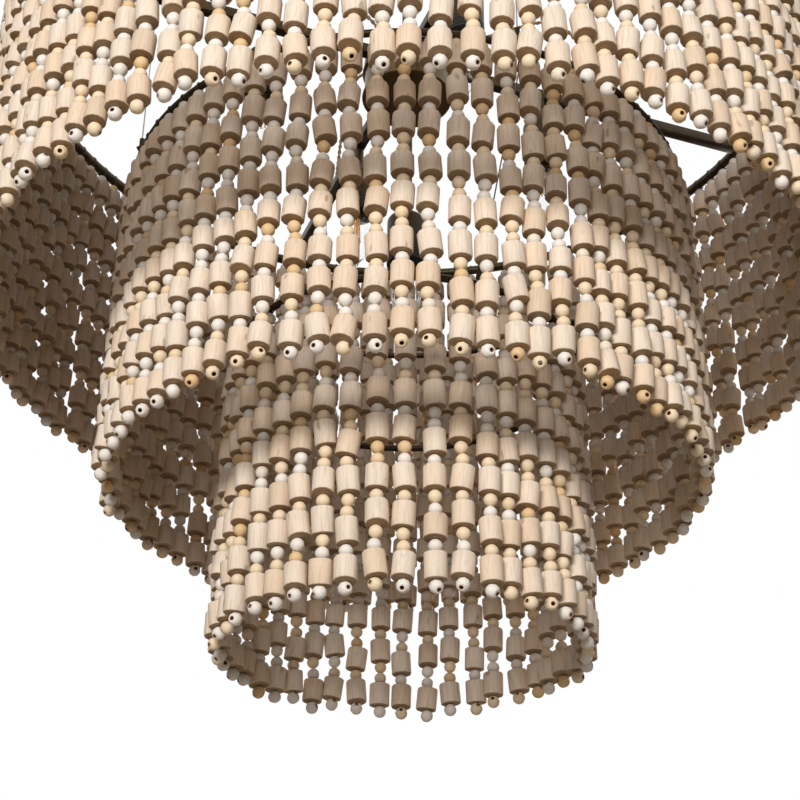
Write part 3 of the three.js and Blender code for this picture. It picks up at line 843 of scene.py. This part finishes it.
class CHANDELIER_OT_cables(BuildStep, bpy.types.Operator):
    """String the steel cables with their grips and stops"""

    bl_idname = "chandelier.cables"
    bl_label = "Fit the cables"

    def build(self, scene):
        metal = scene.chandelier_metal
        steel = metal_material("cable_steel", metal.steel, scaled(metal.steel, 1.3), 0.35, 0.95)
        bronze = bronze_material(metal)
        for row in ("upper", "lower"):
            foot, head, foot_bar, head_bar = cable_ends(row, metal.cable_step)
            span = head - foot
            steps, bare = 14, metal.cable_diameter * 0.6
            outline = cable_outline(span.length, foot_bar / 2, head_bar / 2, metal.cable_diameter / 2)
            for quarter in range(QUARTERS):
                bm = bmesh.new()
                for face in turn_outline(bm, outline, steps):
                    centre = face.calc_center_median()
                    face.material_index = 0 if math.hypot(centre.x, centre.y) < bare else 1
                turn = Matrix.Rotation(quarter_azimuth(quarter), 4, "Z")
                pose = turn @ Matrix.Translation(foot) @ upright_to(span)
                bmesh.ops.transform(bm, matrix=pose, verts=bm.verts)
                crisp_edges(bm)
                node = f"{row}_cable_{quarter + 1}"
                add_piece(f"{row}_line_{quarter + 1}", bm, [steel, bronze], "fixture", [node])


def cable_ends(row, step):
    """Middles of the two bars that a cable joins, the lower one first, and how thick these bars are"""
    middle, bottom = TIERS["middle"], TIERS["bottom"]
    if row == "upper":
        low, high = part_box("spoke_1")
        foot = Vector((middle["radius"], 0, hoop_height("middle")))
        head = Vector((middle["radius"], 0, (low.z + high.z) / 2))
        return foot, head, middle["bar"], high.z - low.z
    foot, head = (
        Vector((math.sqrt(facts["radius"] ** 2 - step ** 2), step, hoop_height(tier)))
        for tier, facts in (("bottom", bottom), ("middle", middle))
    )
    return foot, head, bottom["bar"], middle["bar"]


def cable_outline(length, foot_reach, head_reach, thin):
    """A cable with a grip inside and a stop outside each of its two bars"""
    gap, stop, grip = 0.0003, 0.005, 0.020
    stop_radius, grip_radius, edge = 0.0022, 0.00275, 0.0006
    foot_stop, foot_grip = -foot_reach - gap, foot_reach + gap
    head_grip, head_stop = length - head_reach - gap, length + head_reach + gap
    return [
        (0, foot_stop - stop),
        *knob(foot_stop - stop, foot_stop, stop_radius, edge),
        (thin, foot_stop),
        (thin, foot_grip),
        *knob(foot_grip, foot_grip + grip, grip_radius, edge),
        (thin, foot_grip + grip),
        (thin, head_grip - grip),
        *knob(head_grip - grip, head_grip, grip_radius, edge),
        (thin, head_grip),
        (thin, head_stop),
        *knob(head_stop, head_stop + stop, stop_radius, edge),
        (0, head_stop + stop),
    ]


def knob(floor, top, radius, edge):
    """A short turned grip with bevelled ends, from its lower to its upper face"""
    return [(radius - edge, floor), (radius, floor + edge), (radius, top - edge), (radius - edge, top)]


class CHANDELIER_OT_lamps(BuildStep, bpy.types.Operator):
    """Turn the lamp cups and sockets, and blow the bulbs with their filaments"""

    bl_idname = "chandelier.lamps"
    bl_label = "Fit the lamps"

    def build(self, scene):
        lamps, metal, steps = scene.chandelier_lamps, scene.chandelier_metal, scene.chandelier_stage.bulb_segments
        bronze = bronze_material(metal)
        brass = metal_material("lamp_brass", scaled(metal.brass, 1.6), metal.brass, 0.3)
        plastic = plastic_material(lamps)
        glass, filament = glass_material(), filament_material(lamps)
        for index in LAMPS:
            middle = node_middle(f"lamp_socket_{index}")
            place = (middle.x, middle.y, 0)
            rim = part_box(f"lamp_socket_{index}")[0].z
            body = f"bulb_{index}"
            for name, outline, material, rides, slot, node, crisp in (
                (f"cup_{index}", cup_outline(index), bronze, "fixture", "bronze", f"lamp_cup_{index}", CRISP),
                (f"socket_{index}", socket_outline(index), plastic, "fixture", "black_plastic",
                 f"lamp_socket_{index}", CRISP),
                (f"glass_{index}", bulb_outline(index, lamps.glass_wall), glass, body, "glass", body, FULL_TURN),
            ):
                add_turned(name, outline, steps // 2, material, rides, node, place, crisp)
            bm = bulb_inside(lamps, rim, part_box(body)[1].z, place)
            add_piece(f"filaments_{index}", bm, [filament, brass], body)


def cup_outline(index):
    """A cup on its neck: rounded shoulder, straight wall and an open end"""
    low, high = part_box(f"lamp_cup_{index}")
    radius, wall, shoulder = 0.022, 0.0015, 0.007
    neck, neck_floor, neck_top = 0.0065, low.z + 0.050, high.z - 0.0027
    bore, nipple = 0.0029, 0.0047 if index <= QUARTERS else 0.0039
    return [
        (bore, high.z),
        (bore, neck_floor - wall),
        (radius - shoulder, neck_floor - wall),
        (radius - wall, neck_floor - shoulder - wall),
        (radius - wall, low.z),
        (radius, low.z + 0.0005),
        (radius, neck_floor - shoulder),
        *arc(radius - shoulder, neck_floor - shoulder, shoulder, 10, 80, 5),
        (neck + 0.0030, neck_floor),
        (neck + 0.0030, neck_floor + 0.0022),
        (neck + 0.0024, neck_floor + 0.0028),
        (neck, neck_floor + 0.0028),
        (neck, neck_top),
        (nipple, neck_top),
        (nipple, high.z),
    ]


def socket_outline(index):
    """A plastic socket whose ribbed rim shows below the cup"""
    low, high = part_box(f"lamp_socket_{index}")
    rim, body, well = 0.0222, 0.0202, 0.0074
    rim_top, well_top = low.z + 0.016, low.z + 0.029
    ribs, pitch, groove = 4, 0.0030, rim - 0.0007
    outline = [(0, well_top), (well, well_top), (well, low.z), (rim - 0.0015, low.z), (rim, low.z + 0.0012)]
    for rib in range(ribs):
        base = low.z + 0.0026 + rib * pitch
        outline += [(rim, base), (groove, base + 0.0005), (groove, base + 0.0013), (rim, base + 0.0018)]
    return outline + [(rim, rim_top), (body, rim_top), (body, high.z), (0, high.z)]


def bulb_profile(index):
    """Outside of a candle bulb from its tip up to the screw base, as (radius, height) points"""
    low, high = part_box(f"bulb_{index}")
    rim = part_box(f"lamp_socket_{index}")[0].z - 0.0003
    glass = rim - low.z
    shares = [
        (0.00, 0.000), (0.10, 0.004), (0.17, 0.018), (0.26, 0.050), (0.38, 0.095), (0.52, 0.150), (0.67, 0.215),
        (0.80, 0.285), (0.90, 0.355), (0.965, 0.430), (0.985, 0.500), (0.975, 0.575), (0.93, 0.660),
        (0.85, 0.745), (0.75, 0.820), (0.66, 0.885), (0.60, 0.945), (0.57, 1.000),
    ]
    return [(0.0175 * across, low.z + glass * along) for across, along in shares], rim, high.z


def bulb_outline(index, wall):
    """Outer skin, the collar into the screw base, and the inner skin back down to the tip"""
    outer, rim, top = bulb_profile(index)
    inner = [(max(radius - wall, 0), height + (wall if radius < 0.006 else 0)) for radius, height in outer]
    base = 0.0068
    return outer + [(base, rim + 0.0005), (base, top)] + [(base - wall, top)] + list(reversed(inner))


def bulb_inside(lamps, rim, top, place):
    """Four filament strips on thin wires, on a centre post, and the brass screw base"""
    bm = bmesh.new()
    strips, first_azimuth, closed_in = 4, 0.4, 0.55
    wire, post = 0.0002, 0.0004
    root = rim - 0.002
    low = rim - 0.005 - lamps.filament_length
    for strip in range(strips):
        azimuth = FULL_TURN * strip / strips + first_azimuth
        foot = polar(lamps.filament_circle, azimuth, low)
        head = polar(lamps.filament_circle * closed_in, azimuth, low + lamps.filament_length)
        add_rod(bm, foot, head, lamps.filament_diameter / 2, 8, 0)
        add_rod(bm, polar(0.0012, azimuth, root), head, wire, 4, 1)
        add_rod(bm, polar(post, azimuth, low - 0.003), foot, wire, 4, 1)
    add_rod(bm, Vector((0, 0, low - 0.0035)), Vector((0, 0, root)), post, 6, 1)
    crest, valley, pitch, turns = 0.0062, 0.0058, 0.0045, 5
    thread = [(0, root), (0.006, root), (crest, rim)]
    for turn in range(turns):
        base = rim + 0.002 + turn * pitch
        thread += [(valley, base), (crest, base + 0.0015), (valley, base + 0.003)]
    thread += [(0.0040, top - 0.0015), (0, top - 0.0012)]
    turn_outline(bm, thread, 24, material_index=1)
    bmesh.ops.translate(bm, verts=bm.verts, vec=place)
    return bm


def add_rod(bm, foot, head, radius, sides, material_index):
    """A straight round rod between two points"""
    before = set(bm.faces)
    span = head - foot
    pose = Matrix.Translation((foot + head) / 2) @ upright_to(span)
    bmesh.ops.create_cone(bm, cap_ends=True, segments=sides, radius1=radius, radius2=radius, depth=span.length,
                          matrix=pose)
    for face in bm.faces:
        if face not in before:
            face.smooth = len(face.verts) == 4
            face.material_index = material_index


class CHANDELIER_OT_leads(BuildStep, bpy.types.Operator):
    """Lay the twisted leads in their arches over the spokes, and down to the middle lamp"""

    bl_idname = "chandelier.leads"
    bl_label = "Lay the leads"

    def build(self, scene):
        lamps = scene.chandelier_lamps
        material = cord_material(lamps)
        spoke_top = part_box("spoke_1")[1].z
        lid_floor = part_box("hub_lid")[0].z
        splice_radius, splice_length = (0.008, 0.006), 0.024
        splice = polar(0.027, spoke_azimuth() + FULL_TURN / 8, node_middle("hub_shell").z)
        bm = bmesh.new()
        for quarter in range(QUARTERS):
            for core in (0, 1):
                add_twisted_core(bm, lead_route(quarter, spoke_top, lid_floor, splice), core, lamps)
        low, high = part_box("lamp_leads")
        axis = [Vector((0, 0, high.z)), Vector((0, 0, (low.z + high.z) / 2)), Vector((0, 0, low.z))]
        for core in (0, 1):
            add_twisted_core(bm, axis, core, lamps)
        bmesh.ops.create_cone(bm, cap_ends=True, segments=16, radius1=splice_radius[0], radius2=splice_radius[1],
                              depth=splice_length, matrix=Matrix.Translation(splice))
        smooth_all(bm)
        add_piece("twisted_leads", bm, [material], "fixture", ["lamp_leads"])


def lead_route(quarter, spoke_top, lid_floor, splice):
    """Points of one lead, from the splice in the hub, up through the lid, over its spoke and into it"""
    turn = math.radians(17)
    azimuth = quarter_azimuth(quarter)
    places = [
        (0.038, turn, lid_floor - 0.010),
        (0.038, turn, spoke_top),
        (0.050, turn * 0.8, spoke_top + 0.030),
        (0.092, turn * 0.3, spoke_top + 0.062),
        (0.148, 0, spoke_top + 0.096),
        (0.196, 0, spoke_top + 0.122),
        (0.229, 0, spoke_top + 0.112),
        (0.254, 0, spoke_top + 0.066),
        (0.267, 0, spoke_top + 0.022),
        (0.270, 0, spoke_top + 0.004),
        (0.270, 0, spoke_top - 0.0065),
    ]
    return [splice] + [polar(radius, azimuth + offset, height) for radius, offset, height in places]


def smooth_route(points, per_leg):
    """A Catmull-Rom line through given points"""
    ends = [points[0] * 2 - points[1], *points, points[-1] * 2 - points[-2]]
    line = []
    for before, start, end, after in zip(ends, ends[1:], ends[2:], ends[3:]):
        for step in range(per_leg):
            t = step / per_leg
            line.append(0.5 * (
                2 * start + (end - before) * t
                + (2 * before - 5 * start + 4 * end - after) * t * t
                + (3 * start - before - 3 * end + after) * t ** 3
            ))
    return line + [points[-1]]


def add_twisted_core(bm, points, core, lamps):
    """One of a lead's two cores, wound round their common line"""
    points_per_leg, sides = 24, 6
    line = smooth_route(points, points_per_leg)
    radius = lamps.core_diameter / 2
    travelled, previous, rings = 0.0, line[0], []
    side = Vector((1, 0, 0))
    for index, point in enumerate(line):
        ahead = line[min(index + 1, len(line) - 1)] - line[max(index - 1, 0)]
        ahead.normalize()
        side = (side - ahead * side.dot(ahead)).normalized()
        travelled += (point - previous).length
        previous = point
        angle = FULL_TURN * (travelled / lamps.twist_pitch + core / 2)
        offset = Matrix.Rotation(angle, 3, ahead) @ side * radius
        pose = Matrix.Translation(point + offset) @ upright_to(ahead)
        capped = index in (0, len(line) - 1)
        ring = bmesh.ops.create_circle(bm, cap_ends=capped, segments=sides, radius=radius, matrix=pose)
        rings.append(ring["verts"])
    for lower, upper in zip(rings, rings[1:]):
        edges = [edge for ring in (lower, upper) for edge in {e for v in ring for e in v.link_edges}
                 if edge.verts[0] in ring and edge.verts[1] in ring]
        bmesh.ops.bridge_loops(bm, edges=edges)


class CHANDELIER_OT_ceiling(BuildStep, bpy.types.Operator):
    """Spin the canopy, and finish the bracket, swivel, screws and terminal block"""

    bl_idname = "chandelier.ceiling"
    bl_label = "Fit the ceiling parts"

    def build(self, scene):
        metal = scene.chandelier_metal
        bronze = bronze_material(metal)
        steel = metal_material("swivel_steel", metal.steel, scaled(metal.steel, 1.3), 0.38, 0.95)
        plastic = plastic_material(scene.chandelier_lamps)
        low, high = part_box("canopy_cover")
        add_turned("canopy_pan", canopy_outline(low.z, high.z), scene.chandelier_stage.bulb_segments, bronze,
                   "ceiling", "canopy_cover", crisp=math.radians(50))
        for node, name, material, body, slot in (
            ("ceiling_bracket", "bracket_strap", steel, "ceiling", "steel"),
            ("terminal_block", "terminal_strip", plastic, "ceiling", "black_plastic"),
            ("canopy_screw_1", "canopy_thumbscrew_1", bronze, "ceiling", "bronze"),
            ("canopy_screw_2", "canopy_thumbscrew_2", bronze, "ceiling", "bronze"),
            ("swivel_ring", "gimbal_ring", steel, "gimbal", "steel"),
            ("swivel_block", "gimbal_block", steel, "fixture", "steel"),
        ):
            softened_copy(node, name, material, body, 0.0004)


def canopy_outline(floor, top):
    """A shallow pan with a rounded shoulder and a straight rim"""
    rim, base, wall, hole, side = 0.065, 0.052, 0.0015, 0.014, 0.008
    slope = [(base + (rim - base) * s, floor + (top - side - floor) * s ** 1.3) for s in (0.25, 0.5, 0.75)]
    inner = [(radius - wall, height + wall * 0.3) for radius, height in reversed(slope)]
    return [
        (hole, floor + wall), (hole, floor), (base - 0.003, floor), (base, floor + 0.001), *slope,
        (rim, top - side), (rim, top), (rim - wall, top), (rim - wall, top - side), *inner,
        (base - wall, floor + wall),
    ]


# Stage


class CHANDELIER_OT_stage(BuildStep, bpy.types.Operator):
    """Set the camera, the pale floor and the soft lights"""

    bl_idname = "chandelier.stage"
    bl_label = "Set the stage"

    def build(self, scene):
        stage = scene.chandelier_stage
        lowest = CAD_BOX[0].z
        data = bpy.data.cameras.new("camera")
        data.lens = stage.lens
        data.sensor_width = 36
        data.shift_x = stage.camera_shift
        data.clip_start, data.clip_end = 0.01, 50
        camera = bpy.data.objects.new("camera", data)
        camera.location = (stage.camera_side, -stage.camera_back, lowest - stage.camera_below)
        camera.rotation_euler = (math.pi / 2 + stage.camera_pitch, 0, 0)
        scene.collection.objects.link(camera)
        scene.camera = camera
        scene.view_settings.view_transform = "Standard"
        set_floor(stage)
        set_lights(scene, stage)
        set_world(scene, stage)


def set_floor(stage):
    bm = bmesh.new()
    reach, cells = 12, 8
    bmesh.ops.create_grid(bm, x_segments=cells, y_segments=cells, size=reach)
    bmesh.ops.translate(bm, verts=bm.verts, vec=(0, 0, -stage.floor_depth))
    mesh = mesh_of("floor", bm)
    shades = [(0.3, scaled(stage.floor, 0.97)), (0.7, stage.floor)]
    mesh.materials.append(grained_material("pale_floor", (2.0, 2.0), shades, 0.9))
    floor = bpy.data.objects.new("floor", mesh)
    bpy.context.scene.collection.objects.link(floor)


def set_lights(scene, stage):
    """Three soft boxes; their spread keeps part of the light off the floor"""
    centre = (CAD_BOX[0] + CAD_BOX[1]) / 2
    for name, share, size, place in (
        ("key", 1.0, (2.0, 1.0), (-0.9, -4.6, -0.3)),
        ("fill", 0.11, (2.0, 1.0), (2.9, -3.6, -0.5)),
        ("back", 0.75, (3.0, 2.0), (1.2, 4.5, 0.2)),
    ):
        data = bpy.data.lights.new(name, "AREA")
        data.energy = stage.key_power * share
        data.shape = "RECTANGLE"
        data.size, data.size_y = size
        data.spread = stage.light_spread
        light = bpy.data.objects.new(name, data)
        light.location = place
        light.rotation_euler = (centre - Vector(place)).to_track_quat("-Z", "Y").to_euler()
        scene.collection.objects.link(light)


def set_world(scene, stage):
    """An even room light, shown white to the camera, in metal and through glass"""
    world = bpy.data.worlds.new("room")
    world.use_nodes = True
    scene.world = world
    tree = world.node_tree
    room = tree.nodes["Background"]
    warm = (1, 0.64, 0.42, 1)
    room.inputs["Color"].default_value = warm
    room.inputs["Strength"].default_value = stage.ambient
    white = tree.nodes.new("ShaderNodeBackground")
    white.inputs["Color"].default_value = (1, 1, 1, 1)
    path = tree.nodes.new("ShaderNodeLightPath")
    mix = tree.nodes.new("ShaderNodeMixShader")
    shown = path.outputs["Is Camera Ray"]
    for ray in ("Is Glossy Ray", "Is Transmission Ray"):
        either = tree.nodes.new("ShaderNodeMath")
        either.operation = "MAXIMUM"
        tree.links.new(shown, either.inputs[0])
        tree.links.new(path.outputs[ray], either.inputs[1])
        shown = either.outputs[0]
    for source, socket in zip((shown, room.outputs[0], white.outputs[0]), mix.inputs):
        tree.links.new(source, socket)
    tree.links.new(mix.outputs[0], tree.nodes["World Output"].inputs["Surface"])


# Add-on


class CHANDELIER_PT_panel(bpy.types.Panel):
    """Lists the steps that build the chandelier"""

    bl_idname = "CHANDELIER_PT_panel"
    bl_label = "Beaded chandelier"
    bl_space_type = "VIEW_3D"
    bl_region_type = "UI"
    bl_category = "Chandelier"

    def draw(self, context):
        for operator in OPERATORS:
            self.layout.operator(operator.bl_idname)


SETTINGS = {
    "chandelier_beads": BeadSettings,
    "chandelier_metal": MetalSettings,
    "chandelier_lamps": LampSettings,
    "chandelier_stage": StageSettings,
}
OPERATORS = (
    CHANDELIER_OT_stage,
    CHANDELIER_OT_strands,
    CHANDELIER_OT_strings,
    CHANDELIER_OT_hoops,
    CHANDELIER_OT_bars,
    CHANDELIER_OT_hub,
    CHANDELIER_OT_cables,
    CHANDELIER_OT_lamps,
    CHANDELIER_OT_leads,
    CHANDELIER_OT_ceiling,
)


def register():
    for group in SETTINGS.values():
        bpy.utils.register_class(group)
    for operator in (*OPERATORS, CHANDELIER_PT_panel):
        bpy.utils.register_class(operator)
    for name, group in SETTINGS.items():
        setattr(bpy.types.Scene, name, PointerProperty(type=group))


def unregister():
    for name in SETTINGS:
        delattr(bpy.types.Scene, name)
    for operator in reversed((*OPERATORS, CHANDELIER_PT_panel)):
        bpy.utils.unregister_class(operator)
    for group in reversed(list(SETTINGS.values())):
        bpy.utils.unregister_class(group)


def main():
    register()
    bpy.ops.chandelier.stage()
    bpy.ops.chandelier.strands()
    bpy.ops.chandelier.strings()
    bpy.ops.chandelier.hoops()
    bpy.ops.chandelier.bars()
    bpy.ops.chandelier.hub()
    bpy.ops.chandelier.cables()
    bpy.ops.chandelier.lamps()
    bpy.ops.chandelier.leads()
    bpy.ops.chandelier.ceiling()


if __name__ == "__main__":
    main()
